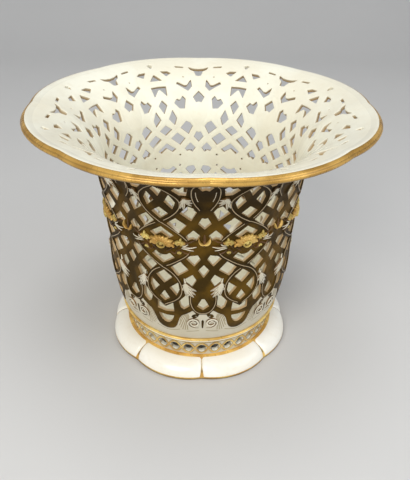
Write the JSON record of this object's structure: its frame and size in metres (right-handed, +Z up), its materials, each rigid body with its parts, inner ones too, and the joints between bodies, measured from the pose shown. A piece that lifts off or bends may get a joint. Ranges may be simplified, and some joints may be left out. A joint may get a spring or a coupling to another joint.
{
  "type": "pierced porcelain basket",
  "caption": "Tall round porcelain basket with a pierced strapwork wall, flared lobed gilt rim, pierced collar and lobed foot.",
  "frame": {"origin": "centre of the foot's underside, on the surface that the basket stands on", "axes": "+Z up along the basket's axis, -Y towards the first repeat's axis A, where two lobes meet"},
  "size_m": [0.2724, 0.2724, 0.2239],
  "materials": {
    "white_glaze": "glossy cream-white glaze",
    "strapwork": "cream glaze with matt dark gold straps outside",
    "burnished_gold": "burnished gilding over glaze",
    "chased_gold": "chased matt gilding over relief"
  },
  "bodies": {
    "root": {"lobed_foot": "white_glaze", "pierced_collar": "white_glaze", "base_plate": "burnished_gold", "lower_wall": "strapwork", "upper_wall": "strapwork", "gilt_lip": "burnished_gold", "rosette_1": "chased_gold", "swag_1": "chased_gold", "scroll_pair_1": "white_glaze", "leaf_1_left": "white_glaze", "leaf_1_right": "white_glaze", "rosette_2": "chased_gold", "swag_2": "chased_gold", "scroll_pair_2": "white_glaze", "leaf_2_left": "white_glaze", "leaf_2_right": "white_glaze", "rosette_3": "chased_gold", "swag_3": "chased_gold", "scroll_pair_3": "white_glaze", "leaf_3_left": "white_glaze", "leaf_3_right": "white_glaze", "rosette_4": "chased_gold", "swag_4": "chased_gold", "scroll_pair_4": "white_glaze", "leaf_4_left": "white_glaze", "leaf_4_right": "white_glaze", "rosette_5": "chased_gold", "swag_5": "chased_gold", "scroll_pair_5": "white_glaze", "leaf_5_left": "white_glaze", "leaf_5_right": "white_glaze", "rosette_6": "chased_gold", "swag_6": "chased_gold", "scroll_pair_6": "white_glaze", "leaf_6_left": "white_glaze", "leaf_6_right": "white_glaze", "rosette_7": "chased_gold", "swag_7": "chased_gold", "scroll_pair_7": "white_glaze", "leaf_7_left": "white_glaze", "leaf_7_right": "white_glaze", "rosette_8": "chased_gold", "swag_8": "chased_gold", "scroll_pair_8": "white_glaze", "leaf_8_left": "white_glaze", "leaf_8_right": "white_glaze"}
  },
  "joints": []
}
